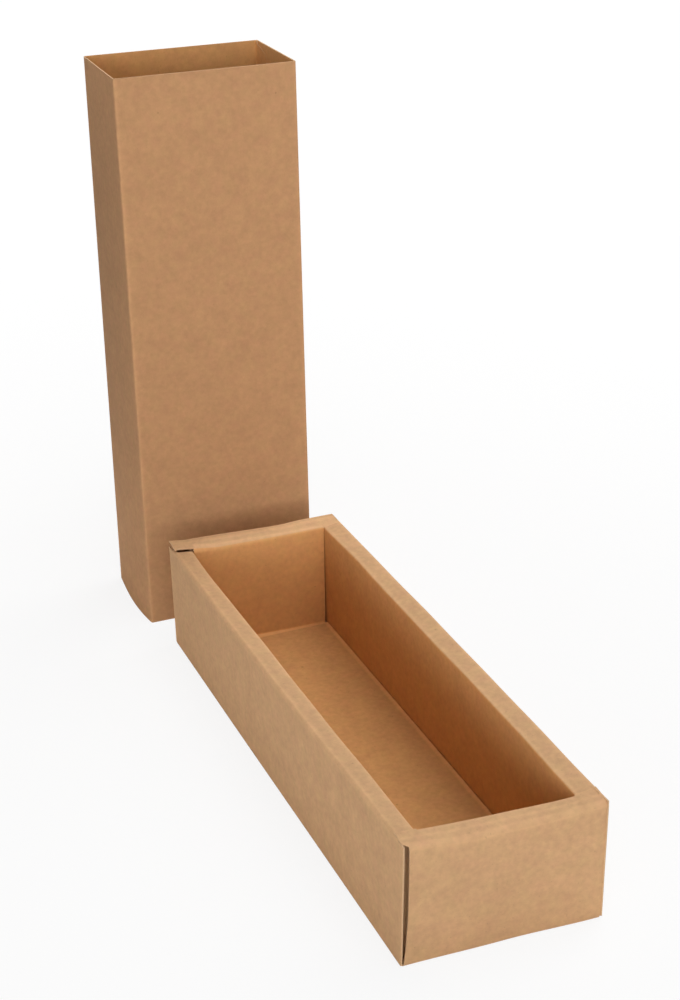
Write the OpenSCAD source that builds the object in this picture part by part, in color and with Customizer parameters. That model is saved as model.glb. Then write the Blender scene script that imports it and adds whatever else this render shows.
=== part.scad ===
// Sliding drawer gift box in folded kraft board: a tray with hollow double walls
// and a four-panel sleeve, open at both ends, that slides over it.
// The tray lies flat with its length along Y, and the empty sleeve stands on end behind it.
// Origin: centre of the tray's underside. +Z is up and the tray's front end faces -Y.

/* [Board] */
// Thickness of the kraft board
board_t = 0.5; // [0.4:0.1:0.8]
// Inside radius of a folded crease
crease_r = 0.3; // [0.2:0.1:0.6]

/* [Tray] */
// Outside width of the tray
tray_w = 70; // [56:1:110]
// Outside length of the tray
tray_l = 228; // [140:1:320]
// Outside height of the tray
tray_h = 45; // [30:1:70]
// Width of the rims on the long walls
side_rim_w = 7.5; // [5:0.5:10]
// Width of the rims on the end walls
end_rim_w = 8; // [5:0.5:10]
// Open slit between the side edge of an end wall and the tray's corner
corner_slit = 1.6; // [1:0.1:2]
// Gap left where two rims or two inner walls meet
seam_gap = 0.4; // [0.2:0.1:0.8]
// Gap between the loose edge of the floor liner and the right inner wall
liner_gap = 0.8; // [0.6:0.1:1.5]
// Length of the corner flaps inside the end walls
corner_flap_l = 22; // [10:1:24]
// Length of the foot flange under the right inner wall
foot_flange_l = 12; // [8:1:16]
// Length of the tuck flaps under the floor liner
tuck_l = 10; // [6:1:14]
// How far the loose corners of a flap are cut back
flap_cut = 3; // [1:0.5:4]

/* [Sleeve] */
// Room between sleeve and tray across the width
sleeve_room_w = 0.8; // [0.6:0.1:1.5]
// Room between sleeve and tray across the height
sleeve_room_h = 0.6; // [0.4:0.1:1.5]
// How far the left side panel of the empty sleeve bows outwards
side_bow = 1.9; // [0.2:0.1:2.4]
// Width of the glue flap
glue_flap_w = 12; // [8:1:16]
// How far the ends of the glue flap are cut back
glue_flap_cut = 5; // [3:1:8]

/* [Layout] */
// Gap between the tray's back end and the standing sleeve
sleeve_gap = 21; // [10:0.5:60]
// How far the sleeve stands to the right of the tray's centre line
sleeve_shift = -3.7; // [-20:0.1:20]

/* [Hidden] */
$fn = 64;
kraft = [0.77, 0.61, 0.45];
kraft_inside = [0.69, 0.50, 0.35];
kraft_sleeve = [0.73, 0.57, 0.43];

// Outside radius of a crease: what a fold takes up along each of its panels
fold = crease_r + board_t;
// Tops of the flange layer and of the floor liner, counted from the tray's underside
flange_top = 2 * board_t;
liner_top = 3 * board_t;
// Length of the long rims, which run between the end rims
long_rim_l = tray_l - 2 * end_rim_w - 2 * seam_gap;
// Length and width of the tray's opening
inside_l = tray_l - 2 * end_rim_w;
inside_w = tray_w - 2 * side_rim_w;
// Height of the walls where an end rim lies on top of them
under_rim_h = tray_h - board_t - 0.1;
// Inside of the sleeve
sleeve_in_w = tray_w + sleeve_room_w;
sleeve_in_h = tray_h + sleeve_room_h;
sleeve_y = tray_l / 2 + sleeve_gap + board_t + sleeve_in_h / 2;

// ---- Profiles: x runs inwards from a wall's outer face, y runs up from the table ----

// Quarter-round fold of the board about the origin, in the quadrant given by two signs
module fold_2d(sx, sy) {
    intersection() {
        difference() {
            circle(r = fold);
            circle(r = crease_r);
        }
        translate([sx < 0 ? -fold : 0, sy < 0 ? -fold : 0]) square(fold);
    }
}

// Flat stretch of board, standing up from one height to another
module upright_2d(x, low, high) {
    translate([x, low]) square([board_t, high - low]);
}

// Rim with a fold down to the outer wall and, if asked for, one down to the inner wall
module rim_2d(width, inner_fold) {
    translate([fold, tray_h - fold]) fold_2d(-1, 1);
    translate([fold, tray_h - board_t])
        square([width - fold - (inner_fold ? fold : 0), board_t]);
    if (inner_fold) translate([width - fold, tray_h - fold]) fold_2d(1, 1);
}

// Fold at the foot of an inner wall, down to the top of a flange
module foot_fold_2d(rim_w, top) {
    translate([rim_w + crease_r, top + crease_r]) fold_2d(-1, -1);
}

// Flange that turns inwards from the foot of an inner wall
module foot_2d(rim_w, top, length) {
    foot_fold_2d(rim_w, top);
    translate([rim_w + crease_r, top - board_t]) square([length - crease_r, board_t]);
}

// ---- Placing: a profile becomes a stretch of wall, centred on that wall ----

module on_left(length) {
    translate([-tray_w / 2, 0, 0]) rotate([90, 0, 0])
        linear_extrude(height = length, center = true) children();
}

module on_right(length) {
    mirror([1, 0, 0]) on_left(length) children();
}

module on_front(length) {
    translate([0, -tray_l / 2, 0]) rotate([90, 0, 90])
        linear_extrude(height = length, center = true) children();
}

// ---- Walls ----

// Outer wall of a long side; it reaches higher where the end rims lie on top of it
module long_outer_wall() {
    on_left(tray_l - 2 * (board_t + fold)) upright_2d(0, fold, tray_h - fold);
    for (s = [-1, 1])
        translate([0, s * (tray_l / 2 - board_t - fold - end_rim_w / 4), 0])
            on_left(end_rim_w / 2) upright_2d(0, tray_h - fold, under_rim_h);
}

module long_rim() {
    on_left(long_rim_l) rim_2d(side_rim_w, true);
}

// Inner wall of a long side, from its foot fold to the rim; its ends stand inside the end walls
module long_inner_wall(foot_top) {
    on_left(inside_l - 2 * seam_gap)
        upright_2d(side_rim_w - board_t, foot_top + crease_r, tray_h - fold);
    for (s = [-1, 1])
        translate([0, s * (inside_l / 2 - seam_gap + end_rim_w / 4), 0])
            on_left(end_rim_w / 2)
                upright_2d(side_rim_w - board_t, flange_top, under_rim_h);
}

// Outer wall of an end, which stops short of both corners
module end_outer_wall() {
    on_front(tray_w - 2 * corner_slit) upright_2d(0, fold, tray_h - fold);
}

// Rim of an end: it runs the full width, and only the part between the long walls folds down
module end_rim() {
    on_front(inside_w - 2 * seam_gap) rim_2d(end_rim_w, true);
    for (s = [-1, 1])
        translate([s * (tray_w / 2 - seam_gap / 2 - side_rim_w / 2), 0, 0])
            on_front(side_rim_w + seam_gap) rim_2d(end_rim_w, false);
}

// Inner wall of an end, set between the two long inner walls
module end_inner_wall() {
    on_front(inside_w - 2 * seam_gap)
        upright_2d(end_rim_w - board_t, flange_top + crease_r, tray_h - fold);
}

// Tuck flap at the foot of an end's inner wall, with its loose corners cut back
module end_tuck_flap() {
    on_front(inside_w - 2 * seam_gap) foot_fold_2d(end_rim_w, flange_top);
    translate([0, -tray_l / 2 + end_rim_w + crease_r, board_t])
        linear_extrude(height = board_t)
            flap_2d(inside_w - 2 * seam_gap, tuck_l - crease_r, flap_cut);
}

// Flap outline: hinged along the x axis and centred on it, with both loose corners cut back
module flap_2d(width, length, cut) {
    polygon([
        [-width / 2, 0], [width / 2, 0],
        [width / 2 - cut, length], [-width / 2 + cut, length]
    ]);
}

// Corner flap: it turns round the corner from a long outer wall and hides in the end wall
module corner_flap() {
    translate([-tray_w / 2 + fold, -tray_l / 2 + board_t + fold, fold])
        linear_extrude(height = tray_h - 2 * fold) fold_2d(-1, -1);
    translate([-tray_w / 2 + fold, -tray_l / 2 + 2 * board_t, tray_h / 2])
        rotate([90, 90, 0]) linear_extrude(height = board_t)
            flap_2d(tray_h - 2 * fold, corner_flap_l, flap_cut);
}

// ---- Sleeve panels: seen from above, the inner face runs along x and the board is below it ----

// Half of a rounded corner, about the inside corner of the sleeve
module half_corner_2d() {
    intersection() {
        circle(r = board_t);
        polygon([[0, 0], [0, -board_t], [-board_t, -board_t]]);
    }
}

module flat_panel_2d(width) {
    translate([0, -board_t]) square([width, board_t]);
}

// Panel bowed outwards along one arc from corner to corner
module bowed_panel_2d(width, bow) {
    arc_r = (pow(width / 2, 2) + pow(bow, 2)) / (2 * bow);
    intersection() {
        translate([width / 2, arc_r - bow]) difference() {
            circle(r = arc_r + board_t, $fn = 360);
            circle(r = arc_r, $fn = 360);
        }
        translate([0, -bow - 2 * board_t]) square([width, bow + 2 * board_t]);
    }
}

// Stands a panel on the table, its ends closed by half of each rounded corner
module sleeve_panel(width, turn, bow = 0) {
    across = abs(sin(turn)) < 0.5 ? sleeve_in_h / 2 : sleeve_in_w / 2;
    translate([sleeve_shift, sleeve_y, 0]) rotate([0, 0, turn])
        translate([-width / 2, -across, 0]) linear_extrude(height = tray_l) {
            if (bow > 0) bowed_panel_2d(width, bow);
            else flat_panel_2d(width);
            half_corner_2d();
            translate([width, 0]) mirror([1, 0]) half_corner_2d();
        }
}

// ---- Tray pieces ----

// Base with the folds up to its four outer walls
module tray_base() {
    color(kraft) {
        flat_w = tray_w - 2 * fold;
        flat_l = tray_l - 2 * fold;
        translate([-flat_w / 2, -flat_l / 2, 0]) cube([flat_w, flat_l, board_t]);
        for (s = [0, 1]) mirror([s, 0, 0])
            on_left(tray_l - 2 * (board_t + fold)) translate([fold, fold]) fold_2d(-1, -1);
        for (s = [0, 1]) mirror([0, s, 0])
            on_front(tray_w - 2 * corner_slit) translate([fold, fold]) fold_2d(-1, -1);
    }
}

// Wide flange of the left inner wall that lines the floor; its right edge is loose
module floor_liner() {
    color(kraft_inside) on_left(inside_l - 2 * fold)
        foot_2d(side_rim_w, liner_top, inside_w - liner_gap);
}

module left_outer_wall() { color(kraft) long_outer_wall(); }
module left_rim() { color(kraft) long_rim(); }
module left_inner_wall() { color(kraft_inside) long_inner_wall(liner_top); }

module right_outer_wall() { color(kraft) mirror([1, 0, 0]) long_outer_wall(); }
module right_rim() { color(kraft) mirror([1, 0, 0]) long_rim(); }
module right_inner_wall() { color(kraft_inside) mirror([1, 0, 0]) long_inner_wall(flange_top); }

// Short flange at the foot of the right inner wall, under the floor liner
module right_foot_flange() {
    color(kraft_inside) on_right(inside_l - 2 * (tuck_l + seam_gap))
        foot_2d(side_rim_w, flange_top, foot_flange_l);
}

module front_outer_wall() { color(kraft) end_outer_wall(); }
module front_rim() { color(kraft) end_rim(); }
module front_inner_wall() { color(kraft_inside) end_inner_wall(); }
module front_tuck_flap() { color(kraft_inside) end_tuck_flap(); }

module back_outer_wall() { color(kraft) mirror([0, 1, 0]) end_outer_wall(); }
module back_rim() { color(kraft) mirror([0, 1, 0]) end_rim(); }
module back_inner_wall() { color(kraft_inside) mirror([0, 1, 0]) end_inner_wall(); }
module back_tuck_flap() { color(kraft_inside) mirror([0, 1, 0]) end_tuck_flap(); }

module front_left_corner_flap() { color(kraft) corner_flap(); }
module front_right_corner_flap() { color(kraft) mirror([1, 0, 0]) corner_flap(); }
module back_left_corner_flap() { color(kraft) mirror([0, 1, 0]) corner_flap(); }
module back_right_corner_flap() {
    color(kraft) mirror([1, 0, 0]) mirror([0, 1, 0]) corner_flap();
}

// ---- Sleeve pieces ----

module sleeve_front_panel() { color(kraft_sleeve) sleeve_panel(sleeve_in_w, 0); }
module sleeve_back_panel() { color(kraft_sleeve) sleeve_panel(sleeve_in_w, 180); }
module sleeve_left_panel() { color(kraft_sleeve) sleeve_panel(sleeve_in_h, 270, side_bow); }
module sleeve_right_panel() { color(kraft_sleeve) sleeve_panel(sleeve_in_h, 90); }

// Glue flap: it belongs to the back panel's edge and is glued inside the right panel
module sleeve_glue_flap() {
    color(kraft_sleeve)
        translate([
            sleeve_shift + sleeve_in_w / 2 - board_t,
            sleeve_y + sleeve_in_h / 2,
            tray_l / 2
        ])
            rotate([0, 90, 0]) rotate([0, 0, 180]) linear_extrude(height = board_t)
                flap_2d(tray_l, glue_flap_w, glue_flap_cut);
}

tray_base();
floor_liner();
left_outer_wall();
left_rim();
left_inner_wall();
right_outer_wall();
right_rim();
right_inner_wall();
right_foot_flange();
front_outer_wall();
front_rim();
front_inner_wall();
front_tuck_flap();
back_outer_wall();
back_rim();
back_inner_wall();
back_tuck_flap();
front_left_corner_flap();
front_right_corner_flap();
back_left_corner_flap();
back_right_corner_flap();
sleeve_front_panel();
sleeve_back_panel();
sleeve_left_panel();
sleeve_right_panel();
sleeve_glue_flap();
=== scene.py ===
"""Sliding drawer gift box in folded kraft board: an open tray with hollow double walls, and an
empty sleeve that stands on end behind it.

Every panel is one stretch of board between two creases. Its shape starts from the board's middle
surface, a folded line carried along the panel, and the board's two faces lie half a thickness to
either side of it. Lengths are in metres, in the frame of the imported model.
"""

import math

import bpy
import numpy as np
from mathutils import Matrix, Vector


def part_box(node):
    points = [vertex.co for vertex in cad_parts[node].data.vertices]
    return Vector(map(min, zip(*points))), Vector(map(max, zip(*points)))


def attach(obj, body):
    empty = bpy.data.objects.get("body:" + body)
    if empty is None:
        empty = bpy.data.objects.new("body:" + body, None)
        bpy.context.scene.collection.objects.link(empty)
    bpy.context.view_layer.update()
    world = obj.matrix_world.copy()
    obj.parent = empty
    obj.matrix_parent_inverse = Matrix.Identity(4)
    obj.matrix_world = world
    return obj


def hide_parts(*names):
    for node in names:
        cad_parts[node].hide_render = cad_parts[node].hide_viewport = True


bl_info = {
    "name": "Kraft Drawer Box",
    "version": (1, 0, 0),
    "blender": (4, 5, 0),
    "location": "View3D > Sidebar > Drawer Box",
    "description": "Builds the finished surfaces of a kraft board drawer box and its sleeve",
    "category": "Add Mesh",
}

MM = 0.001

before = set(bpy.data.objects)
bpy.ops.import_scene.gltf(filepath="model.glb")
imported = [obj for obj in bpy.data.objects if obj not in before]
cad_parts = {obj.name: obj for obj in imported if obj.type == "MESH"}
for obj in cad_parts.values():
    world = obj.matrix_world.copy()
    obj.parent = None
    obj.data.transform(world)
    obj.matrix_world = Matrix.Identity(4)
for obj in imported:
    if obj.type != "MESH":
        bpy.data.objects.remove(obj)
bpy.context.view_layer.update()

# ---- Sizes of the box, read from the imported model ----

base_low, base_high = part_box("tray_base")
flange_low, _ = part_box("right_foot_flange")
_, side_rim_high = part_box("left_rim")
_, end_rim_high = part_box("front_rim")
_, end_wall_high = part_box("front_outer_wall")
_, end_inner_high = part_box("front_inner_wall")
_, side_inner_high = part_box("left_inner_wall")
_, liner_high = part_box("floor_liner")
_, tuck_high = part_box("front_tuck_flap")
_, corner_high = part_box("front_left_corner_flap")
panel_low, panel_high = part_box("sleeve_front_panel")
_, rear_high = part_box("sleeve_back_panel")
glue_low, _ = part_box("sleeve_glue_flap")

BOARD = flange_low.z
HALF = BOARD / 2
CREASE = base_high.z - HALF  # radius of the middle surface in a sharp crease
FOLD = base_high.z  # height that a sharp crease takes
TRAY_W = base_high.x - base_low.x
TRAY_L = base_high.y - base_low.y
TRAY_H = side_rim_high.z
SIDE_RIM = side_rim_high.x + TRAY_W / 2
END_RIM = end_rim_high.y + TRAY_L / 2
INNER_END = end_inner_high.x  # half the width of an end inner wall
FLANGE_TOP = 2 * BOARD
LINER_TOP = 3 * BOARD
SLEEVE_H = panel_high.z
SLEEVE_LEFT, SLEEVE_RIGHT = panel_low.x, panel_high.x
SLEEVE_FRONT, SLEEVE_BACK = panel_low.y, rear_high.y

FINE = 2.5 * MM  # longest side of a face in the grids
SHARP = math.radians(40)  # an edge between faces that turn by more than this is shown sharp


# ---- Folded lines and the board round them ----


def places(marks, step=FINE):
    """Places along a line: every mark, and even steps between two marks, none longer than step."""
    parts = [
        np.linspace(a, b, max(1, math.ceil((b - a) / step - 1e-6)), endpoint=False)
        for a, b in zip(marks, marks[1:])
    ]
    return np.concatenate([*parts, marks[-1:]])


def smooth(value, start, end):
    """Smooth step: 0 before start, 1 after end, and between them three times the square of the
    share less twice its cube."""
    t = np.clip((value - start) / (end - start), 0, 1)
    return t * t * (3 - 2 * t)


def hump(value, centre, width):
    """Bell curve of height 1: e to the power of minus the square of (value - centre) / width."""
    return np.exp(-(((value - centre) / width) ** 2))


def stepped(x, start, *steps):
    """A start value plus smooth steps of place. Each step is its rise, and where it begins and
    ends in millimetres."""
    return start + sum(rise * smooth(x, begin * MM, end * MM) for rise, begin, end in steps)


NEAR_CREASE = np.array([0.35, 0.9, 1.8]) * MM  # places of extra points beside a crease
CREASE_SPREAD = 0.7 * MM  # distance in which the mark of a crease fades to 1/e


def folded_line(corners, radii, segments=8):
    """A line through corners, rounded at each inner corner by an arc of its radius.

    corners is a list of (a, b) pairs. They and the radii may be arrays, one value for each place
    along the panel. At a corner where the line turns by an angle, the arc touches both straights
    at radius times the tangent of half that angle from the corner, and its points turn about its
    centre by equal parts of the angle. Returns the points, how much of a crease each row is, from
    0 to 1, and the rows where the stretches meet.
    """
    count = max(np.size(v) for pair in corners for v in pair)
    points = np.array([[np.broadcast_to(v, count) for v in pair] for pair in corners], float)
    leg = np.diff(points, axis=0)
    length = np.hypot(leg[:, 0], leg[:, 1])
    heading = np.arctan2(leg[:, 1], leg[:, 0])
    turn = (np.diff(heading, axis=0) + np.pi) % (2 * np.pi) - np.pi
    radii = np.array([np.broadcast_to(r, count) for r in radii], float)
    none = np.zeros((1, count))
    reach = np.concatenate([none, radii * np.tan(np.abs(turn) / 2), none])
    rows, crease, marks = [], [], [0]
    for k in range(len(leg)):
        free = length[k] - reach[k] - reach[k + 1]
        nominal = float(free.mean())
        inner = NEAR_CREASE[NEAR_CREASE < nominal / 2]
        steps = places([0.0, *inner, *(nominal - inner)[::-1], nominal]) / nominal
        if k:
            steps = steps[1:]
        unit = leg[k] / length[k]
        along = reach[k] + steps[:, None] * free
        rows.append(points[k][None] + unit[None] * along[:, None])
        left = np.exp(-steps * nominal / CREASE_SPREAD) * (k > 0)
        right = np.exp(-(1 - steps) * nominal / CREASE_SPREAD) * (k < len(leg) - 1)
        crease.append(np.maximum(left, right))
        marks.append(marks[-1] + len(steps) - (k == 0))
        if k < len(leg) - 1:
            side = np.sign(turn[k])
            start = points[k + 1] - unit * reach[k + 1]
            centre = start + radii[k] * side * np.array([-unit[1], unit[0]])
            angle = turn[k] * np.linspace(0, 1, segments + 1)[1:, None]
            arm = start - centre
            turned = [
                arm[0] * np.cos(angle) - arm[1] * np.sin(angle),
                arm[0] * np.sin(angle) + arm[1] * np.cos(angle),
            ]
            rows.append(np.stack(turned, axis=1) + centre[None])
            crease.append(np.ones(segments))
            marks.append(marks[-1] + segments)
    return np.concatenate(rows), np.concatenate(crease), marks


# How far the walls stand out of square, in shares of the spread
LEFT_LEAN = 0.9  # left wall's top to the right, near the front
LEFT_OUT = 0.9  # left wall's top to the left, further back
LEFT_FOOT_OUT = 0.2
RIGHT_LEAN = 0.45  # right wall's top to the right
RIGHT_FOOT_IN = 0.5  # near the front
FRONT_RIGHT_OUT = 1.5  # right end of the front, forwards
FRONT_LEFT_IN = 0.9

# Where along the tray that sets in and where it is full. The first and last are distances from
# the middle, the others places.
NEAR_FRONT = (20 * MM, 112 * MM)
LEFT_REAR = (-90 * MM, 60 * MM)
RIGHT_REAR = (-100 * MM, -30 * MM)
AT_ENDS = (85 * MM, 112 * MM)

# Waves in the walls: the direction they move the board in (0 for x), their share of the slack, how
# far they turn in a millimetre along x, y and z, in radians, and the angle they start from
WAVES = (
    (0, 0.6, (0, 1 / 17, 0), 1.0),
    (0, 0.4, (0, 1 / 7.3, 1 / 9), 0.0),
    (1, 0.6, (1 / 11, 0, 1 / 15), 0.4),
    (2, 0.4, (1 / 9, 1 / 13, 0), 2.0),
)
WAVES_FROM, WAVES_FULL = 0.5 * MM, 12 * MM  # heights


def settled(middle):
    """The tray as the hand-folded board keeps it, with every place moved by smooth steps of place.

    The long walls stand out a little, most in the rear half, and lean to the right near the front.
    The front stands askew. Long shallow waves run over the walls: sums of sines that fade out
    towards the table.
    """
    x, y, z = np.moveaxis(middle, 2, 0)
    shape = settings().tray
    near, up = smooth(-y, *NEAR_FRONT), z / TRAY_H
    left = LEFT_LEAN * near * up - (LEFT_FOOT_OUT + LEFT_OUT * up) * smooth(y, *LEFT_REAR)
    rear = smooth(y, *RIGHT_REAR) * (1 - 0.5 * smooth(y, *AT_ENDS))
    right = near * (RIGHT_LEAN * up - RIGHT_FOOT_IN) + RIGHT_LEAN * up * rear
    askew = FRONT_RIGHT_OUT * smooth(x, 0, TRAY_W / 2) - FRONT_LEFT_IN * smooth(-x, 0, TRAY_W / 2)
    moved = middle.copy()
    moved[..., 0] += shape.spread * np.where(x < 0, left, right) * np.abs(x) / (TRAY_W / 2)
    moved[..., 1] -= shape.spread * askew * smooth(-y, *AT_ENDS)
    height = shape.slack * smooth(z, WAVES_FROM, WAVES_FULL)
    for direction, share, turns, start in WAVES:
        moved[..., direction] += height * share * np.sin(middle / MM @ np.array(turns) + start)
    return moved


class Board:
    """A folded stretch of board as a grid: rows run across its creases and columns along them.

    The normal at a point is the cross product of the grid's two slopes there. The front and back
    faces lie half the board's thickness along it and against it, and strips close every border.
    crease says how much of a crease each point is, or as a column each row. The UV map holds the
    distances across and along the board.
    """

    def __init__(self, middle, crease):
        normal = np.cross(np.gradient(middle, axis=0), np.gradient(middle, axis=1))
        self.middle = middle
        self.normal = normal / np.linalg.norm(normal, axis=2, keepdims=True)
        self.crease = np.broadcast_to(crease, middle.shape[:2])
        across = np.linalg.norm(np.diff(middle, axis=0), axis=2).mean(1)
        along = np.linalg.norm(np.diff(middle, axis=1), axis=2).mean(0)
        arc = np.concatenate([[0], np.cumsum(across)])
        run = np.concatenate([[0], np.cumsum(along)])
        self.uv = np.stack(np.meshgrid(arc, run, indexing="ij"), axis=2)

    def piece(self, name, finish, rows=slice(None), keep=None, lining=None):
        """Makes the mesh object of some of the rows. keep says which cells of the grid hold board,
        and lining is the finish of the face that the normals point to, where it differs."""
        middle, normal = self.middle[rows], self.normal[rows]
        shape = middle.shape[:2]
        if keep is None:
            keep = np.ones((shape[0] - 1, shape[1] - 1), bool)
        faces, kind = closed_faces(keep)
        points = np.concatenate([middle + normal * HALF, middle - normal * HALF]).reshape(-1, 3)
        used, faces = np.unique(faces, return_inverse=True)
        faces = faces.reshape(-1, 4)
        crease = np.tile(self.crease[rows].ravel(), 2)[used].astype(np.float32)
        uv = np.tile(self.uv[rows].reshape(-1, 2), (2, 1))[used]
        mesh = bpy.data.meshes.new(name)
        mesh.from_pydata(points[used], [], faces)
        for material in (lining or finish, finish, cut_edge()):
            mesh.materials.append(material)
        mesh.polygons.foreach_set("material_index", kind)
        mesh.shade_smooth()
        mesh.set_sharp_from_angle(angle=SHARP)
        # The crease mark also carries the painted highlights along folds and edges
        mesh.attributes.new("crease", "FLOAT", "POINT").data.foreach_set("value", crease)
        corners = np.empty(len(mesh.loops), np.int32)
        mesh.loops.foreach_get("vertex_index", corners)
        flat = uv[corners].astype(np.float32).ravel()
        mesh.uv_layers.new(name="board").data.foreach_set("uv", flat)
        mesh.validate()
        piece = bpy.data.objects.new(name, mesh)
        bpy.context.scene.collection.objects.link(piece)
        return piece


def closed_faces(keep):
    """Faces of both sides of the kept cells, and of the strips that close their borders, and 0 for
    a face of the front, 1 for one of the back and 2 for one of a strip.

    Cell (i, j) has the corners (i, j), (i+1, j), (i+1, j+1), (i, j+1), turning round the front's
    normal. A strip stands wherever a kept cell has no kept neighbour, and turns the other way
    round along the edge that it shares with the front.
    """
    rows, columns = keep.shape[0] + 1, keep.shape[1] + 1
    front = np.arange(rows * columns).reshape(rows, columns)
    corner = np.stack([front[:-1, :-1], front[1:, :-1], front[1:, 1:], front[:-1, 1:]], axis=2)
    behind = rows * columns
    padded = np.pad(keep, 1)
    gone = [
        (padded[1:-1, :-2], 0, 1),
        (padded[2:, 1:-1], 1, 2),
        (padded[1:-1, 2:], 2, 3),
        (padded[:-2, 1:-1], 3, 0),
    ]
    broad = [corner[keep], corner[keep][:, ::-1] + behind]
    strips = []
    for neighbour, a, b in gone:
        edge = corner[keep & ~neighbour]
        first, last = edge[:, a], edge[:, b]
        strips.append(np.stack([last, first, first + behind, last + behind], axis=1))
    kind = np.repeat([0, 1, 2], [len(broad[0]), len(broad[1]), sum(map(len, strips))])
    return np.concatenate(broad + strips), kind.astype(np.int32)


def put(piece, body, node):
    """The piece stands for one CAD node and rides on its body."""
    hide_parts(node)
    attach(piece, body)


# ---- Sizes and colours that a user would change ----


def length(name, description, default, low=0.0):
    """A length that a user can change, in metres and never under low."""
    return bpy.props.FloatProperty(
        name=name, description=description, default=default, min=low, unit="LENGTH"
    )


class TrayShape(bpy.types.PropertyGroup):
    """How the folded tray departs from straight board"""

    rim_drop: length("Rim drop", "How far the long rims slope down to their inner edge", 0.6 * MM)
    soft_crease: length(
        "Inner crease radius",
        "Radius of the soft crease between a rim and its inner wall",
        1.1 * MM,
        low=0.4 * MM,
    )
    spread: length("Spread", "How far the walls stand out of square, about", 1.0 * MM)
    back_lift: length("Back rim lift", "How far the back rim springs up at its left end", 2.1 * MM)
    back_lean: length(
        "Back wall lean",
        "How far the foot of the inner back wall stands forward of its top",
        1.8 * MM,
    )
    slack: length("Slack", "Height of the long shallow waves in the walls", 0.15 * MM)


class SleeveShape(bpy.types.PropertyGroup):
    """How the empty sleeve departs from straight board"""

    bow_foot: length(
        "Bow at the foot", "How far the left panel bows outwards at its foot", 1.5 * MM
    )
    bow_top: length("Bow at the top", "How far the left panel bows outwards at its top", 0.1 * MM)
    stand_out: length("Right panel", "How far the right panel stands out", 0.8 * MM)
    skew: length(
        "Skew at the top", "How far the front panel leans to the left at its top", 1.1 * MM
    )


class BoardFinish(bpy.types.PropertyGroup):
    """Colours of the kraft board and the floor, as sRGB hex values"""

    tray: bpy.props.StringProperty(
        name="Tray", description="Colour of the tray's board", default="#C89F76"
    )
    # The inside colour is the board painted browner and darker: painted shade and bounce light of
    # the hollows
    inside: bpy.props.StringProperty(
        name="Inside",
        description="Colour of the board inside the tray and the sleeve",
        default="#CC9963",
    )
    sleeve: bpy.props.StringProperty(
        name="Sleeve", description="Colour of the sleeve's board", default="#BA8D65"
    )
    fibre: bpy.props.StringProperty(
        name="Cut fibre", description="Colour of the raw fibre at cut edges", default="#D0AC86"
    )
    floor: bpy.props.StringProperty(
        name="Floor", description="Colour of the floor", default="#F6F6F6"
    )


class DrawerBox(bpy.types.PropertyGroup):
    """All settings of the box"""

    tray: bpy.props.PointerProperty(type=TrayShape)
    sleeve: bpy.props.PointerProperty(type=SleeveShape)
    finish: bpy.props.PointerProperty(type=BoardFinish)


def settings():
    """The scene's settings of the box."""
    return bpy.context.scene.drawer_box


# ---- Finishes ----


def linear(colour):
    """sRGB hex to linear RGBA: a division by 12.92 near black, and the power 2.4 above it."""
    channels = [int(colour[i : i + 2], 16) / 255 for i in (1, 3, 5)]
    return (*(c / 12.92 if c <= 0.04045 else ((c + 0.055) / 1.055) ** 2.4 for c in channels), 1.0)


def add(tree, kind, links=None, **values):
    """Adds a shader node to a tree, of the kind that Blender names after ShaderNode. values sets
    its properties, and links its inputs, by name or number, from a socket or a plain value."""
    node = tree.nodes.new("ShaderNode" + kind)
    for key, value in values.items():
        setattr(node, key, value)
    for key, value in (links or {}).items():
        if isinstance(value, bpy.types.NodeSocket):
            tree.links.new(value, node.inputs[key])
        else:
            node.inputs[key].default_value = value
    return node


def new_material(name):
    """A material whose tree has no nodes yet, and that tree."""
    material = bpy.data.materials.new(name)
    material.use_nodes = True
    material.node_tree.nodes.clear()
    return material, material.node_tree


# Sizes of the board's patterns
CLOUD = 9 * MM  # formation: where the pulp lies thick or thin
MOTTLE = 2 * MM
TINT = 5 * MM  # patches of a slightly redder or greener brown
SPECK = 0.9 * MM  # noise whose highest peaks are specks of bark, about 0.5 mm across
SPECK_FROM, SPECK_FULL = 0.72, 0.80  # heights of those peaks
GRAIN = 0.6 * MM  # felt of the pressed fibres
FIBRE_WIDE, FIBRE_LONG = 0.5 * MM, 0.9 * MM
FELT_HIGH = 0.025 * MM
TORN, TORN_HIGH = 0.5 * MM, 0.08 * MM  # torn fibre ends at a cut edge

# How much each pattern changes the lightness, and the tint the hue
CLOUD_SHARE, MOTTLE_SHARE, FIBRE_SHARE = 0.20, 0.31, 0.10
# Creases show paler: partly the real paling of broken fibres, partly a painted highlight along the
# folds
CREASE_PALE_AND_HIGHLIGHT, SPECK_DARK, FLECK_DARK = 0.11, 0.18, 0.3
TINT_SHARE = 0.018

EDGE_DARK, EDGE_PALE = 0.85, 1.12  # lightness between and on the torn ends

GLOSS = 0.12  # specular level: uncoated fibre hardly shines

# Bark flecks that stand out: place on the box and radius
FLECK_CORE = 0.3  # share of its radius in which a fleck is fully dark
FLECKS = [
    ((4.1 * MM, 72.1 * MM, 1.5 * MM), 0.7 * MM),
    ((-0.7 * MM, -32.4 * MM, 1.5 * MM), 0.5 * MM),
    ((32.2 * MM, 7.0 * MM, 44.8 * MM), 0.6 * MM),
    ((-24.2 * MM, 134.9 * MM, 213.8 * MM), 0.4 * MM),
    ((23.1 * MM, 134.9 * MM, 216.7 * MM), 0.5 * MM),
]


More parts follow.
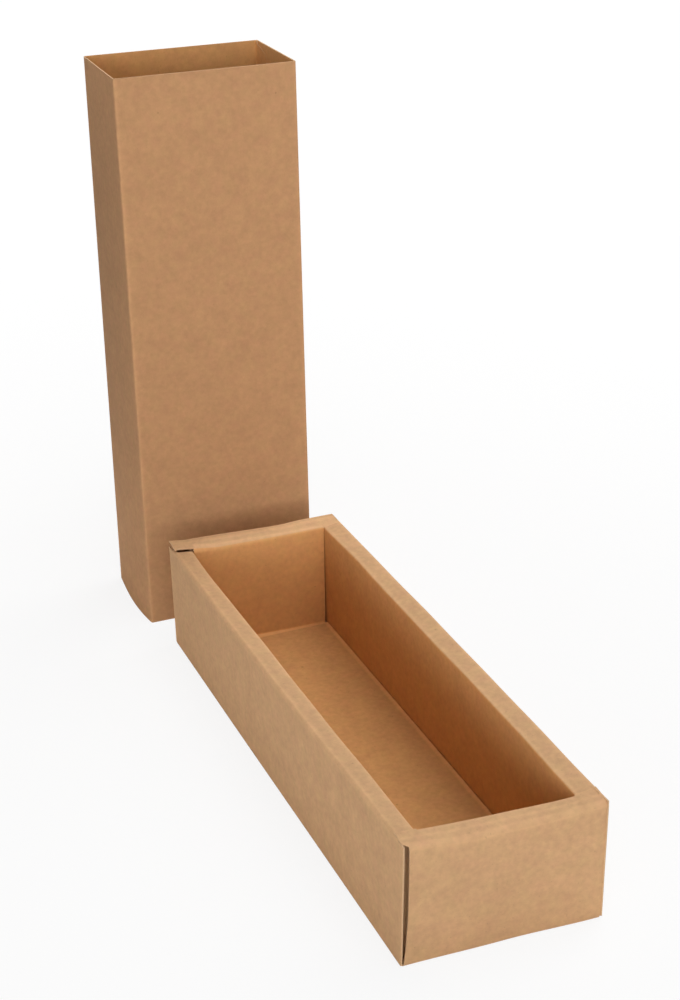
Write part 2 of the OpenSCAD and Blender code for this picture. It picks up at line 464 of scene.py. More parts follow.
def bare_fibre(tree, tone, relief, strength, high, roughness):
    """Ends the tree of a material of uncoated fibre. tone and relief are the nodes that give its
    colour and its height, and strength and high are how strong and how high the relief is."""
    bump = {"Height": relief.outputs[0], "Strength": strength, "Distance": high}
    look = {
        "Base Color": tone.outputs[0],
        "Roughness": roughness,
        "Specular IOR Level": GLOSS,
        "Normal": add(tree, "Bump", bump).outputs[0],
    }
    shader = add(tree, "BsdfPrincipled", look)
    add(tree, "OutputMaterial", {"Surface": shader.outputs[0]})


def kraft_board(name, colour):
    """Uncoated kraft board, pressed from long brown fibres and left without size or varnish. It is
    matt, clouded where the fibres lie thick or thin, and flecked with darker bark and paler
    fibres. Along a crease it shows paler: partly the real paling of broken fibres, partly a
    painted highlight, and where the crease mark passes 1 it is all painted highlight."""
    if name in bpy.data.materials:
        return bpy.data.materials[name]
    material, tree = new_material(name)
    at = add(tree, "TexCoord").outputs["Object"]
    blank = add(tree, "UVMap", uv_map="board").outputs["UV"]
    cloud, mottle, tint, bark, grain = (
        add(tree, "TexNoise", {"Vector": at, "Scale": 1 / size, "Detail": detail})
        for size, detail in ((CLOUD, 2.0), (MOTTLE, 3.0), (TINT, 2.0), (SPECK, 1.0), (GRAIN, 2.0))
    )
    # Fibres lie along the board's length. Real ones are 0.03 mm wide, too fine to show, so these
    # are as coarse as they need to be.
    stretch = {"Vector": blank, "Scale": (1 / FIBRE_WIDE, 1 / FIBRE_LONG, 1.0)}
    stretched = add(tree, "Mapping", stretch).outputs[0]
    fibre = add(tree, "TexNoise", {"Vector": stretched, "Scale": 1.0, "Detail": 2.0})
    # The crease mark: where the board is paler along folds and edges, partly real paling and
    # partly painted highlight
    crease = add(tree, "Attribute", attribute_name="crease").outputs["Fac"]
    # Specks of bark, about one in every few square centimetres
    peaks = {"Value": bark.outputs[0], "From Min": SPECK_FROM, "From Max": SPECK_FULL}
    speck = add(tree, "MapRange", peaks).outputs[0]

    # Lightness: the sum of every pattern times its share. A noise is 0.5 on average, so half of
    # the shares of the three noises comes off.
    patterns = [
        (cloud.outputs[0], CLOUD_SHARE),
        (mottle.outputs[0], MOTTLE_SHARE),
        (fibre.outputs[0], FIBRE_SHARE),
        (crease, CREASE_PALE_AND_HIGHLIGHT),
        (speck, -SPECK_DARK),
    ]
    for spot, radius in FLECKS:
        away = add(tree, "VectorMath", {0: at, 1: spot}, operation="DISTANCE").outputs["Value"]
        disc = {"Value": away, "From Min": radius, "From Max": FLECK_CORE * radius}
        patterns.append((add(tree, "MapRange", disc).outputs[0], -FLECK_DARK))
    light = 1 - (CLOUD_SHARE + MOTTLE_SHARE + FIBRE_SHARE) / 2
    for pattern, share in patterns:
        terms = {0: pattern, 1: share, 2: light}
        light = add(tree, "Math", terms, operation="MULTIPLY_ADD").outputs[0]
    terms = {0: tint.outputs[0], 1: TINT_SHARE, 2: (1 - TINT_SHARE) / 2}
    hue = add(tree, "Math", terms, operation="MULTIPLY_ADD").outputs[0]
    tone = add(tree, "HueSaturation", {"Hue": hue, "Value": light, "Color": linear(colour)})

    felt = {0: grain.outputs[0], 1: fibre.outputs[0]}
    relief = add(tree, "Math", felt, operation="ADD")
    bare_fibre(tree, tone, relief, strength=0.25, high=FELT_HIGH, roughness=0.85)
    return material


def cut_edge():
    """Die-cut edge of kraft board: torn fibre ends, paler and rougher than the pressed face."""
    name = "cut_board_edge"
    if name in bpy.data.materials:
        return bpy.data.materials[name]
    material, tree = new_material(name)
    at = add(tree, "TexCoord").outputs["Object"]
    torn = add(tree, "TexNoise", {"Vector": at, "Scale": 1 / TORN, "Detail": 3.0})
    lights = {"Value": torn.outputs[0], "To Min": EDGE_DARK, "To Max": EDGE_PALE}
    light = add(tree, "MapRange", lights).outputs[0]
    pale = {"Value": light, "Color": linear(settings().finish.fibre)}
    tone = add(tree, "HueSaturation", pale)
    bare_fibre(tree, tone, torn, strength=0.4, high=TORN_HIGH, roughness=0.92)
    return material


def shaded_inside_board():
    """The board inside the tray and the sleeve, painted browner and darker than outside as the
    shade and bounce light of the hollows.
    """
    return kraft_board("uncoated_kraft_of_inside", settings().finish.inside)


def tray_board(slot):
    """The tray's board for a slot: the copy with painted inside shade for its own, and else the
    outer one.
    """
    if slot == "kraft_board_inside":
        return shaded_inside_board()
    return kraft_board("uncoated_kraft_of_tray", settings().finish.tray)


# ---- The tray ----


def tray_grid(line, stations, side):
    """Carries a line along one wall. The line's first value is the distance inwards from the
    wall's outer face and its second is the height."""
    inwards, height = line[:, 0], line[:, 1]
    along = np.broadcast_to(stations, inwards.shape)
    grid = {
        "left": (inwards - TRAY_W / 2, along, height),
        "right": (TRAY_W / 2 - inwards, along, height),
        "front": (along, inwards - TRAY_L / 2, height),
        "back": (along, TRAY_L / 2 - inwards, height),
    }[side]
    return np.stack(grid, axis=2)


def between(stations, low, high):
    """Which cells between neighbouring places lie from low to high."""
    middle = (stations[1:] + stations[:-1]) / 2
    return (middle > low) & (middle < high)


# Soft dents in the long rims' inner edges: depth, place along the rim and width
DENTS = {
    "left": [(0.9 * MM, 83 * MM, 22 * MM), (-0.2 * MM, -60 * MM, 50 * MM)],
    "right": [
        (0.8 * MM, -112 * MM, 30 * MM),
        (0.6 * MM, 106 * MM, 16 * MM),
        (0.5 * MM, 14 * MM, 30 * MM),
        (-0.4 * MM, 72 * MM, 16 * MM),
    ],
}


def side_drop(stations, side):
    """How far a long rim's inner edge lies below its outer one: an even drop plus bell curves."""
    dents = sum(depth * hump(stations, centre, width) for depth, centre, width in DENTS[side])
    return settings().tray.rim_drop + dents


def place_part(board, node, slot, rows, columns):
    """One panel of the tray: some rows of a board, with the cells that hold board."""
    keep = np.broadcast_to(columns, (rows.stop - rows.start - 1, columns.shape[-1]))
    put(board.piece(node, tray_board(slot), rows, keep), "tray", node)


CORNER_START = 110 * MM  # half the length of a long wall before its corner flaps begin
UNDER_TAB = 0.7 * MM  # how far a long rim runs on under the tab of an end rim
OUTER_CREASE = 0.7 * MM  # radius of the crease between an outer wall and a long rim
LINER_WIDER = 0.5 * MM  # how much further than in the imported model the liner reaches
LINER_CURL = 0.4 * MM  # how high its loose edge curls up
CURL_WIDTH = 1.6 * MM
LINER_SHORT = 2.7 * MM  # how much its rear end stops short at the right
LINER_ASKEW = 1.3 * MM  # and how much more at the left
ASKEW_ACROSS = (-27 * MM, 24 * MM)  # where across the tray that fades out
SHORT_FROM = 90 * MM  # where along the tray the liner starts to draw together for it
LINER_EDGE_HIGHLIGHT = 3  # painted highlight along the liner's curled loose edge, this many times as pale as a crease
RIGHT_SHARPER = 0.35  # the right inner crease's radius, as a share of the left one's


class DRAWERBOX_OT_long_sides(bpy.types.Operator):
    """Builds the two long double walls, the floor liner and the foot flange"""

    bl_idname = "drawerbox.long_sides"
    bl_label = "Long sides"

    def execute(self, context):
        inner_end = side_inner_high.y
        closed = side_rim_high.y + UNDER_TAB
        soft = settings().tray.soft_crease
        liner_run = liner_high.x + LINER_WIDER + TRAY_W / 2
        runs = {
            # side: top of its foot, run of the foot, half its length, radius of the inner crease
            "left": (LINER_TOP, liner_run, liner_high.y, soft),
            "right": (FLANGE_TOP, TRAY_W / 2 - flange_low.x, -flange_low.y, RIGHT_SHARPER * soft),
        }
        for side, (top, run, length, radius) in runs.items():
            marks = {-CORNER_START, -closed, -length, -inner_end}
            stations = places(sorted(marks | {-mark for mark in marks}))
            line, crease, rows = folded_line(
                [
                    (HALF, FOLD),
                    (HALF, TRAY_H - HALF),
                    (SIDE_RIM - HALF, TRAY_H - HALF - side_drop(stations, side)),
                    (SIDE_RIM - HALF, top - HALF),
                    (run, top - HALF),
                ],
                [OUTER_CREASE, radius, CREASE],
            )
            grid = tray_grid(line, stations, side)
            if side == "left":
                # The liner's loose edge curls up and carries a painted highlight, and its rear end
                # is askew
                across, along = grid[..., 0], grid[..., 1]
                loose = smooth(across, liner_high.x - CURL_WIDTH, liner_high.x)
                grid[..., 2] += LINER_CURL * loose
                crease = np.maximum(crease, LINER_EDGE_HIGHLIGHT * loose[:, 0])
                short = LINER_SHORT + LINER_ASKEW * (1 - smooth(across, *ASKEW_ACROSS))
                on_floor = across > SIDE_RIM - TRAY_W / 2
                grid[..., 1] -= short * smooth(along, SHORT_FROM, length) * on_floor
            board = Board(settled(grid), crease[:, None])
            rim = between(stations, -closed, closed)
            wall = np.ones((rows[2], len(stations) - 1), bool)
            wall[rows[1] :] = ~rim  # past the rim the wall's top only curls over
            inner = between(stations, -inner_end, inner_end)
            foot = between(stations, -length, length)
            turn = (rows[3] + rows[4]) // 2
            node = {"left": "floor_liner", "right": "right_foot_flange"}[side]
            for name, slot, part, columns in (
                (f"{side}_outer_wall", "kraft_board_tray", slice(0, rows[2] + 1), wall),
                (f"{side}_rim", "kraft_board_tray", slice(rows[1], turn + 1), rim),
                (f"{side}_inner_wall", "kraft_board_inside", slice(turn, rows[5] + 1), inner),
                (node, "kraft_board_inside", slice(rows[5], rows[7] + 1), foot),
            ):
                place_part(board, name, slot, part, columns)
        return {"FINISHED"}


# Along the end rims: how far a crease lies below the top, in millimetres, as a start and steps
# with their rise and place
FRONT_OUTER_DROP = (0.6, (2.0, -36, -15), (-1.5, 8, 38))
FRONT_INNER_DROP = (0.5, (1.2, -30, 16), (-0.4, 18, 32))
BACK_INNER_DROP = (-1.3, (0.8, -34, -27), (1.4, -28, -16))
# and in the same way the shares of the back rim's lift
BACK_LIFT = (1.0, (-0.43, -36, -28), (-0.57, -30, 24), (0.3, 8, 22))
RIDGE_RISE = {"front": 0.2 * MM, "back": 0.1 * MM}
RIDGE_LIFT = 0.9  # share of the back rim's lift that its ridge has
BACK_RIDGE = 3.5 * MM  # distance of the back rim's ridge from its outer face


def end_shape(x, side):
    """Of an end rim at places along it: the heights of its outer crease, its ridge and its inner
    crease, and how far the ridge lies from the outer face. All are smooth steps of place."""
    top = TRAY_H - HALF
    rim_end = (TRAY_L / 2 - END_RIM) * {"front": -1, "back": 1}[side]
    drop = np.where(x < 0, side_drop(rim_end, "left"), side_drop(rim_end, "right"))
    on_side = drop * np.clip((TRAY_W / 2 - np.abs(x)) / SIDE_RIM, 0, 1)  # how low the long rim is
    if side == "front":
        outer = stepped(x, *FRONT_OUTER_DROP) * MM
        inner = np.where(np.abs(x) > INNER_END, on_side, stepped(x, *FRONT_INNER_DROP) * MM)
        ridge = top - (outer + inner) / 2 + RIDGE_RISE[side]
        return top - outer, ridge, top - inner, END_RIM / 2
    lift = stepped(x, *BACK_LIFT) * settings().tray.back_lift
    inner = np.where(x > INNER_END, on_side, stepped(x, *BACK_INNER_DROP) * MM)
    return top + lift, top + RIDGE_LIFT * lift + RIDGE_RISE[side], top - inner, BACK_RIDGE


# Lean of the front face's ends to the right, in shares of the spread: at the foot, how much more
# above it and over what height, and how much less at the top
LEFT_END = (0.8, 2.15, 14 * MM, 0.9)
RIGHT_END = (-0.55, 0.95, 8 * MM, 0.0)


def front_ends(x, height):
    """How far a place on the front face shifts to the right, in shares of the spread. The shift of
    an end sets in from its foot as 1 less e to the power of minus height over a length, and falls
    off evenly with height. In between it is in proportion to the distance from the middle."""
    left, right = (
        foot + more * (1 - np.exp(-height / over)) - less * height / TRAY_H
        for foot, more, over, less in (LEFT_END, RIGHT_END)
    )
    return np.where(x < 0, left, right) * np.abs(x) / (TRAY_W / 2 - HALF)


FRONT_CREASE = 1.5 * MM  # radius of the worn outer crease of the front rim
FRONT_BLEND = 1.7 * MM  # how far from the front face its rim still shares its lean
RIDGE_ROUND = 3 * MM  # radius of the soft ridge along an end rim
TAB_CUT = 0.02 * MM  # radius where a rim's tab ends sharply
TAB_GAP = 0.05 * MM  # a narrow cell, where the tab parts from the inner wall
BACK_ROLL = 1.5 * MM  # how much wider the back rim's roll is at its left end
BACK_LOOSE = (-20 * MM, 25 * MM)  # where across the tray the back wall gets tight again
BACK_SHORT = 0.8 * MM  # how much short of the corner the back rim ends at its right
TUCK_STEP = 3.6 * MM  # run in which a tuck flap comes down to the base
TUCK_RISE = {"front": (0.1 * MM, 0.0), "back": (0.3 * MM, 0.7 * MM)}  # and more at its left end
TUCK_ROUND = 1 * MM  # radius where it comes to lie flat
TUCK_CUT = 3 * MM  # how far the tuck flap's loose corners are cut back
WIDER_TOP, NARROWER_FOOT = 0.3 * MM, 0.4 * MM  # inner wall of an end, against its nominal width
ROLL_HIGHLIGHT, TUCK_HIGHLIGHT = 2, 2.5  # painted highlights along the roll and the tuck fold, this many times as pale as a crease
END_FINE = 1.6 * MM  # longest side of a face along an end wall


def end_line(x, side):
    """The folded line of an end wall, from the foot of its outer wall to its tuck flap's loose
    edge. The back rim rolls over to its inner wall, most at its left end, and its tuck flap stands
    off the base there. Returns what folded_line does."""
    shape = settings().tray
    back = side == "back"
    outer, ridge, inner, ridge_at = end_shape(x, side)
    tab = np.abs(x) > INNER_END + TAB_GAP / 2
    loose = 1 - smooth(x, *BACK_LOOSE)
    lean = shape.back_lean if back else 0.0
    roll = shape.soft_crease + BACK_ROLL * loose * back
    foot = FLANGE_TOP - HALF
    rise, more = TUCK_RISE[side]
    turn_in = END_RIM - HALF + lean
    line, crease, rows = folded_line(
        [
            (HALF, FOLD),
            (HALF, outer),
            (ridge_at, ridge),
            (END_RIM - HALF, inner),
            (turn_in, foot + rise + more * loose),
            (turn_in + TUCK_STEP, foot),
            (tuck_high.y + TRAY_L / 2 + lean, foot),
        ],
        [
            CREASE if back else FRONT_CREASE,
            RIDGE_ROUND,
            np.where(tab, TAB_CUT, roll),
            CREASE,
            TUCK_ROUND,
        ],
    )
    if back:  # its roll and the fold of its tuck flap get painted highlights
        row = np.arange(len(line))
        painted_highlight = np.interp(row, rows[4:8], [0, ROLL_HIGHLIGHT, ROLL_HIGHLIGHT, 0])
        painted_highlight[rows[7] : rows[10]] = TUCK_HIGHLIGHT
        crease = np.maximum(crease, painted_highlight * np.interp(row, rows[4:6], [0, 1]))
    return line, crease, rows


class DRAWERBOX_OT_end_walls(bpy.types.Operator):
    """Builds the front and back double walls with their tuck flaps"""

    bl_idname = "drawerbox.end_walls"
    bl_label = "End walls"

    def execute(self, context):
        half = TRAY_W / 2 - HALF
        # side: left and right end of the rim and of the outer wall
        ends = {
            "front": (-half, half, -half, half),
            "back": (-TRAY_W / 2, half - BACK_SHORT, -end_wall_high.x, end_wall_high.x),
        }
        for side, (rim_left, rim_right, wall_left, wall_right) in ends.items():
            tabs = (-INNER_END - TAB_GAP, -INNER_END, INNER_END, INNER_END + TAB_GAP)
            x = places(sorted({rim_left, rim_right, wall_left, wall_right, *tabs}), END_FINE)
            line, crease, rows = end_line(x, side)
            grid = tray_grid(line, x, side)
            # The inner wall widens at its top crease and narrows to its foot, and the tuck flap's
            # loose corners are cut back
            at = [rows[k] for k in (5, 6, 7, 9, 11)]
            foot, tip = -NARROWER_FOOT, -NARROWER_FOOT - TUCK_CUT
            wider = np.interp(np.arange(len(line)), at, [0, WIDER_TOP, foot, foot, tip])
            grid[..., 0] += wider[:, None] * np.clip(x / INNER_END, -1, 1)
            if side == "front":
                # The front face's ends lean to the right, and its rim still reaches the long sides
                depth, height = line[:, 0], line[:, 1]
                shift = settings().tray.spread * front_ends(x, height)
                grid[..., 0] += shift * (1 - smooth(depth, HALF, FRONT_BLEND))
            board = Board(settled(grid), crease[:, None])
            wall = between(x, wall_left, wall_right)
            inside = between(x, -INNER_END, INNER_END)
            turn = (rows[5] + rows[6]) // 2
            rim = np.tile(between(x, rim_left, rim_right), (turn - rows[1], 1))
            rim[rows[5] - rows[1] :] &= inside
            for name, slot, part, columns in (
                ("outer_wall", "kraft_board_tray", slice(0, rows[1] + 1), wall),
                ("rim", "kraft_board_tray", slice(rows[1], turn + 1), rim),
                ("inner_wall", "kraft_board_inside", slice(turn, rows[7] + 1), inside),
                ("tuck_flap", "kraft_board_inside", slice(rows[7], rows[11] + 1), inside),
            ):
                place_part(board, f"{side}_{name}", slot, part, columns)
        return {"FINISHED"}


class DRAWERBOX_OT_tray_base(bpy.types.Operator):
    """Builds the tray's base with its four foot creases"""

    bl_idname = "drawerbox.tray_base"
    bl_label = "Tray base"

    def execute(self, context):
        half_w, half_l = TRAY_W / 2 - FOLD, TRAY_L / 2 - FOLD
        turn = np.linspace(0, np.pi / 2, 8)[1:]

        def crossed(flat, half):
            """Distance and height along one direction: a flat between two quarter-rounds."""
            rise = CREASE * (1 - np.cos(turn))
            run = half + CREASE * np.sin(turn)
            place = np.concatenate([-run[::-1], flat, run])
            return place, np.concatenate([rise[::-1], np.zeros(len(flat)), rise])

        x, rise_x = crossed(places([-half_w, half_w]), half_w)
        y, rise_y = crossed(places([-half_l, -CORNER_START, CORNER_START, half_l]), half_l)
        rise = np.maximum(rise_x[:, None], rise_y[None])
        middle = np.stack([*np.meshgrid(x, y, indexing="ij"), HALF + rise], axis=2)
        keep = between(x, -half_w, half_w)[:, None] | between(y, -half_l, half_l)[None]
        board = Board(settled(middle), rise / CREASE)
        place_part(board, "tray_base", "kraft_board_tray", slice(0, len(x)), keep)
        return {"FINISHED"}


WALL_END = 114.2 * MM  # half the length of a long wall with its cut ends
WALL_LOWER = 0.7 * MM  # how far the wall's end lies below the rim
WALL_CUT = 0.6 * MM  # thickness of its cut end
# A flap's side of the tray, its distance from the middle, and how much lower than the wall's end
# its top lies
FLAPS = {"front": (1, 110.0 * MM, 2.2 * MM), "back": (-1, 107.6 * MM, 0.5 * MM)}
FLAP_STEP = (0.4 * MM, 1.5 * MM)  # where inside the wall its top steps down


class DRAWERBOX_OT_corner_flaps(bpy.types.Operator):
    """Builds the four flaps that turn round the corners inside the end walls"""

    bl_idname = "drawerbox.corner_flaps"
    bl_label = "Corner flaps"

    def execute(self, context):
        wall = HALF - TRAY_W / 2
        share = np.linspace(0, 1, 20)
        for end, (sign_y, deep, lower) in FLAPS.items():
            line, crease, rows = folded_line(
                [
                    (wall, -CORNER_START),
                    (wall, -WALL_END),
                    (wall + WALL_CUT, -WALL_END),
                    (wall + BOARD, -deep),
                    (corner_high.x, -deep),
                ],
                [TAB_CUT, TAB_CUT, TAB_CUT],
            )
            # The wall's end is cut off sharply, and the flap starts from the wall's inner face
            keep = np.ones((len(line) - 1, len(share) - 1), bool)
            keep[rows[1] : rows[6]] = False
            # The wall's end is nearly as high as the wall, and the flap stays below the rim
            below = lower * smooth(line[:, 0] - wall, *FLAP_STEP)
            high = FOLD + (TRAY_H - WALL_LOWER - below - FOLD) * share
            for hand, sign_x in (("left", 1), ("right", -1)):
                flap = [sign_x * line[:, 0] + 0 * high, sign_y * line[:, 1] + 0 * high, high]
                board = Board(settled(np.stack(flap, axis=2)), crease[:, None])
                node = f"{end}_{hand}_corner_flap"
                place_part(board, node, "kraft_board_tray", slice(0, len(line)), keep)
        return {"FINISHED"}


# ---- The sleeve ----

LEFT_SKEW = 1.2  # the front panel's left edge leans this many times as far as its right one
BOW_PLACE = 0.85  # power that moves the bow's widest place forward of the panel's middle
GLUE_CUT = 5 * MM  # how far the glue flap's loose corners are cut back
SLEEVE_MARKS = (2 * MM, 8 * MM)  # places of extra points from either end


class DRAWERBOX_OT_sleeve(bpy.types.Operator):
    """Builds the sleeve's four panels and its glue flap as one folded line carried up the sleeve.
    The left panel bows out as a half sine across it, and the front leans evenly with height"""

    bl_idname = "drawerbox.sleeve"
    bl_label = "Sleeve"

    def execute(self, context):
        shape = settings().sleeve
        low = [0, *SLEEVE_MARKS]
        heights = places([*low, *(SLEEVE_H - mark for mark in reversed(low))])
        rise = heights / SLEEVE_H
        skew = shape.skew * rise
        left, right = SLEEVE_LEFT + HALF, SLEEVE_RIGHT - HALF + shape.stand_out
        front, back = SLEEVE_FRONT + HALF, SLEEVE_BACK - HALF
        flap_x = glue_low.x + HALF + shape.stand_out
        line, crease, rows = folded_line(
            [
                (right, SLEEVE_BACK),
                (right - skew, front),
                (left - LEFT_SKEW * skew, front),
                (left, back),
                (flap_x, back),
                (flap_x, glue_low.y),
            ],
            [CREASE] * 4,
        )
        bow = shape.bow_foot + (shape.bow_top - shape.bow_foot) * rise
        panel = line[rows[4] : rows[5] + 1]
        share = (panel[:, 1] - panel[:1, 1]) / (panel[-1:, 1] - panel[:1, 1])
        panel[:, 0] -= bow * np.sin(np.pi * share**BOW_PLACE)
        high = np.tile(heights, (len(line), 1))
        flap = np.clip((np.arange(len(line)) - rows[8]) / (rows[9] - rows[8]), 0, 1)[:, None]
        high = SLEEVE_H / 2 + (high - SLEEVE_H / 2) * (1 - flap * 2 * GLUE_CUT / SLEEVE_H)
        board = Board(np.stack([line[:, 0], line[:, 1], high], axis=2), crease[:, None])
        outside = kraft_board("uncoated_kraft_of_sleeve", settings().finish.sleeve)
        turns = [(rows[k] + rows[k + 1]) // 2 for k in (1, 3, 5)]
        for node, body, first, last in (
            ("sleeve_right_panel", "sleeve_right", 0, turns[0]),
            ("sleeve_front_panel", "sleeve_front", turns[0], turns[1]),
            ("sleeve_left_panel", "sleeve_left", turns[1], turns[2]),
            ("sleeve_back_panel", "sleeve_back", turns[2], rows[8]),
            ("sleeve_glue_flap", "sleeve_right", rows[8], rows[9]),
        ):
            part = slice(first, last + 1)
            # The sleeve's inner face takes the board with painted inside shade
            piece = board.piece(node, outside, part, lining=shaded_inside_board())
            put(piece, body, node)
        return {"FINISHED"}


# ---- Camera, lamps and floor ----

PHOTO_W = 680
PHOTO_H = 1000
FOCAL_PX = 1887.6  # focal length in pixels of the photograph
CAMERA_AT = (-224.73 * MM, -545.0 * MM, 375.14 * MM)
CAMERA_YAW = math.radians(21.754)
CAMERA_PITCH = math.radians(-24.557)
CAMERA_ROLL = math.radians(-1.019)
SENSOR = 36.0  # millimetres, as Blender counts it


def posed(name, data, right, up, back, place):
    """Puts a camera or a lamp into the scene, which looks away from back."""
    pose = np.eye(4)
    pose[:3, :] = np.column_stack([right, up, back, place])
    holder = bpy.data.objects.new(name, data)
    holder.matrix_world = Matrix(pose.tolist())
    bpy.context.scene.collection.objects.link(holder)
    return holder


class DRAWERBOX_OT_camera(bpy.types.Operator):
    """Sets the camera where the photograph was taken from"""

    bl_idname = "drawerbox.camera"
    bl_label = "Camera"

    def execute(self, context):
        yaw, pitch, roll = CAMERA_YAW, CAMERA_PITCH, CAMERA_ROLL
        level = np.array([math.cos(yaw), -math.sin(yaw), 0.0])
        forward = np.array([math.sin(yaw), math.cos(yaw), 0.0])
        ahead = math.cos(pitch) * forward + np.array([0.0, 0.0, math.sin(pitch)])
        over = np.cross(level, ahead)
        right = math.cos(roll) * level + math.sin(roll) * over
        up = -math.sin(roll) * level + math.cos(roll) * over
        data = bpy.data.cameras.new("camera")
        data.sensor_width = SENSOR
        data.lens = FOCAL_PX * SENSOR / max(PHOTO_W, PHOTO_H)
        data.clip_start, data.clip_end = 10 * MM, 20.0
        context.scene.camera = posed("camera", data, right, up, -ahead, CAMERA_AT)
        return {"FINISHED"}


def seen_directly(tree):
    """1 for what the camera sees, straight or through a reflection or glass, and 0 for the light
    that falls on the box."""
    path = add(tree, "LightPath").outputs
    seen = path["Is Camera Ray"]
    for ray in ("Is Glossy Ray", "Is Transmission Ray"):
        seen = add(tree, "Math", {0: seen, 1: path[ray]}, operation="MAXIMUM").outputs[0]
    return seen


# The paper's own white, seen directly: just over full white, its share near the box, and the
# distances between which it grows to the whole
PAPER_WHITE = 1.01
NEAR_WHITE = 0.84
WHITE_FROM, WHITE_TO = 0.25, 0.7


def studio_floor():
    """Seamless white paper sweep: matt and even. Seen directly it is white and keeps a faint
    shadow, and it throws light back on the box as white paper does."""
    material, tree = new_material("white_paper_sweep")
    colour = linear(settings().finish.floor)
    paper = add(tree, "BsdfDiffuse", {"Color": colour, "Roughness": 1.0}).outputs[0]
    white = {"Color": (1, 1, 1, 1), "Strength": PAPER_WHITE}
    glow = add(tree, "Emission", white).outputs[0]
    at = add(tree, "TexCoord").outputs["Object"]
    away = add(tree, "VectorMath", {0: at}, operation="LENGTH").outputs["Value"]
    near = {"Value": away, "From Min": WHITE_FROM, "From Max": WHITE_TO, "To Min": NEAR_WHITE}
    share = add(tree, "MapRange", near).outputs[0]
    pale = add(tree, "MixShader", {0: share, 1: paper, 2: glow}).outputs[0]
    mixed = add(tree, "MixShader", {0: seen_directly(tree), 1: paper, 2: pale})
    add(tree, "OutputMaterial", {"Surface": mixed.outputs[0]})
    return material


# Softboxes: azimuth from -Y towards +X and elevation in degrees, width, height, power in watts
LAMPS = {
    "key_softbox": (125, 38, 1.1, 0.8, 9.4),
    "top_softbox": (90, 78, 0.9, 0.9, 6.2),
    "high_front_softbox": (0, 62, 0.9, 0.9, 1.7),
    "low_front_softbox": (-12, 21, 1.8, 0.9, 3.3),
}
LAMP_FAR = 1.2  # metres from the place they aim at
LAMP_AIM = (0.0, 30 * MM, 50 * MM)
FLAG_X = -0.29  # metres, like the flag's reach along the tray and its height
FLAG_FRONT, FLAG_BACK = 0.08, 0.40
FLAG_LOW, FLAG_HIGH = 0.07, 0.25
STRIP_LIGHT = 3.9  # brightness of the low strip of light round the front and left of the table
STRIP_FACE = (-0.74, -0.67, 0.0)  # the way to its brightest place
STRIP_FULL, STRIP_GONE = 0.10, 0.40  # how high it is full and where it has faded out
REACH = 6.0  # half the floor's side
BELOW = 0.05 * MM  # how far the floor lies under the box


def black_felt():
    """Black felt of a studio flag: deep black and quite matt, it throws back almost no light."""
    material, tree = new_material("black_felt")
    felt = add(tree, "BsdfDiffuse", {"Color": linear("#101010"), "Roughness": 1.0})
    add(tree, "OutputMaterial", {"Surface": felt.outputs[0]})
    return material


def surroundings():
    """White studio. Its light is one long low strip on the front and left, as bright as the cosine
    of the angle from the strip's brightest place, and the rest of the room is black."""
    world = bpy.data.worlds.new("studio")
    world.use_nodes = True
    tree = world.node_tree
    tree.nodes.clear()
    way = add(tree, "TexCoord").outputs["Generated"]
    facing = add(tree, "VectorMath", {0: way, 1: STRIP_FACE}, operation="DOT_PRODUCT")
    height = add(tree, "SeparateXYZ", {0: way}).outputs["Z"]
    fade = {"Value": height, "From Min": STRIP_GONE, "From Max": STRIP_FULL}
    both = {0: facing.outputs["Value"], 1: add(tree, "MapRange", fade).outputs[0]}
    strip = add(tree, "Math", both, operation="MULTIPLY", use_clamp=True).outputs[0]
    strength = add(tree, "Math", {0: strip, 1: STRIP_LIGHT}, operation="MULTIPLY").outputs[0]
    room = add(tree, "Background", {"Color": (1, 1, 1, 1), "Strength": strength}).outputs[0]
    white = add(tree, "Background", {"Color": (1, 1, 1, 1), "Strength": 1.0}).outputs[0]
    mixed = add(tree, "MixShader", {0: seen_directly(tree), 1: room, 2: white})
    add(tree, "OutputWorld", {"Surface": mixed.outputs[0]})
    return world


def stage_sheet(name, corners, material):
    """A flat sheet of the stage through four corners."""
    mesh = bpy.data.meshes.new(name)
    mesh.from_pydata(corners, [], [(0, 1, 2, 3)])
    mesh.materials.append(material)
    sheet = bpy.data.objects.new(name, mesh)
    bpy.context.scene.collection.objects.link(sheet)
    return sheet


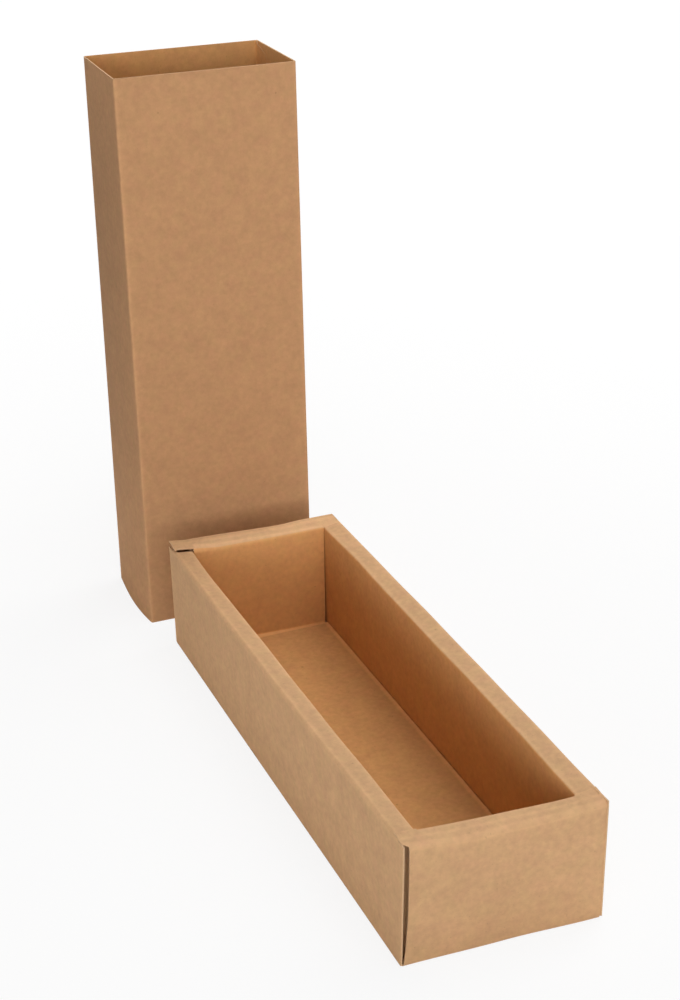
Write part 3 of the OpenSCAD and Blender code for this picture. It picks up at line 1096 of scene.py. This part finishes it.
class DRAWERBOX_OT_stage(bpy.types.Operator):
    """Builds the floor, the soft lamps and the white surroundings"""

    bl_idname = "drawerbox.stage"
    bl_label = "Stage"

    def execute(self, context):
        square = ((-REACH, -REACH), (REACH, -REACH), (REACH, REACH), (-REACH, REACH))
        stage_sheet("floor", [(x, y, -BELOW) for x, y in square], studio_floor())
        # The flag stands beside the sleeve, out of the camera's sight, and keeps the strip of
        # light off the sleeve's left
        upright = (
            (FLAG_FRONT, FLAG_LOW),
            (FLAG_BACK, FLAG_LOW),
            (FLAG_BACK, FLAG_HIGH),
            (FLAG_FRONT, FLAG_HIGH),
        )
        flag = stage_sheet("black_flag", [(FLAG_X, y, z) for y, z in upright], black_felt())
        flag.visible_camera = False
        for name, (azimuth, elevation, width, height, power) in LAMPS.items():
            lamp = bpy.data.lights.new(name, "AREA")
            lamp.shape = "ELLIPSE"
            lamp.size, lamp.size_y = width, height
            lamp.energy = power
            turn, rise = math.radians(azimuth), math.radians(elevation)
            level = np.array([math.cos(turn), math.sin(turn), 0.0])
            outwards = np.array([math.sin(turn), -math.cos(turn), 0.0])
            away = math.cos(rise) * outwards + np.array([0.0, 0.0, math.sin(rise)])
            place = LAMP_AIM + away * LAMP_FAR
            holder = posed(name, lamp, level, np.cross(away, level), away, place)
            holder.visible_camera = False
        context.scene.world = surroundings()
        context.scene.view_settings.view_transform = "Standard"
        return {"FINISHED"}


STEPS = (
    DRAWERBOX_OT_tray_base,
    DRAWERBOX_OT_long_sides,
    DRAWERBOX_OT_end_walls,
    DRAWERBOX_OT_corner_flaps,
    DRAWERBOX_OT_sleeve,
    DRAWERBOX_OT_camera,
    DRAWERBOX_OT_stage,
)


class DRAWERBOX_PT_panel(bpy.types.Panel):
    """Lists the box's sizes, colours and building steps"""

    bl_idname = "DRAWERBOX_PT_panel"
    bl_label = "Drawer Box"
    bl_space_type = "VIEW_3D"
    bl_region_type = "UI"
    bl_category = "Drawer Box"

    def draw(self, context):
        box = context.scene.drawer_box
        for group in (box.tray, box.sleeve, box.finish):
            column = self.layout.box().column()
            for name in group.__annotations__:
                column.prop(group, name)
        for step in STEPS:
            self.layout.operator(step.bl_idname)


CLASSES = (TrayShape, SleeveShape, BoardFinish, DrawerBox, *STEPS, DRAWERBOX_PT_panel)


def register():
    for cls in CLASSES:
        bpy.utils.register_class(cls)
    bpy.types.Scene.drawer_box = bpy.props.PointerProperty(type=DrawerBox)


def unregister():
    del bpy.types.Scene.drawer_box
    for cls in reversed(CLASSES):
        bpy.utils.unregister_class(cls)


def main():
    """Registers the add-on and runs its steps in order."""
    register()
    for step in STEPS:
        group, name = step.bl_idname.split(".")
        getattr(getattr(bpy.ops, group), name)()
    bpy.context.view_layer.update()


if __name__ == "__main__":
    main()
